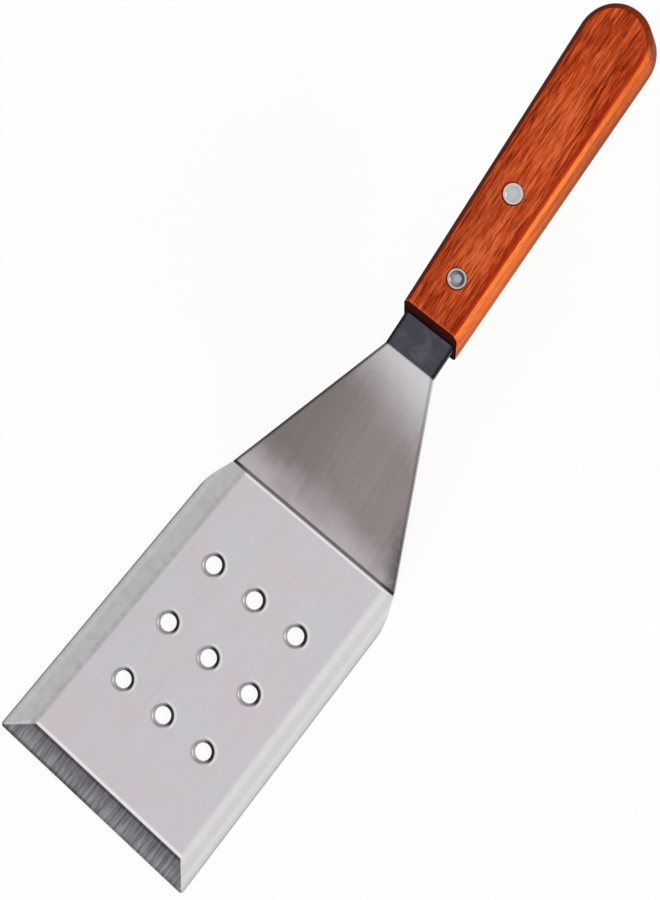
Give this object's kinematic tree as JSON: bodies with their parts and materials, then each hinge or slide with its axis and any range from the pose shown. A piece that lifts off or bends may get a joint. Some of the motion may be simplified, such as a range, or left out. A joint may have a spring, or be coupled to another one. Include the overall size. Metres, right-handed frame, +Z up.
{
  "type": "perforated offset turner",
  "caption": "Offset kitchen turner: flat perforated steel blade ground on its front and side edges, steep tapered neck, and a riveted wooden handle of two scales.",
  "frame": {"origin": "middle of the footprint, on the plane of the blade's underside", "axes": "+X from the blade's front edge towards the handle's butt, +Y to the left as the holder looks along +X, +Z up from the blade"},
  "size_m": [0.3508, 0.1, 0.0993],
  "materials": {
    "blade_steel": "satin",
    "handle_wood": "satin",
    "rivet_metal": "polished"
  },
  "bodies": {
    "root": {"blade": "blade_steel", "upper_handle_scale": "handle_wood", "lower_handle_scale": "handle_wood", "front_rivet_socket": "rivet_metal", "front_rivet_post": "rivet_metal", "rear_rivet_socket": "rivet_metal", "rear_rivet_post": "rivet_metal"}
  },
  "joints": []
}
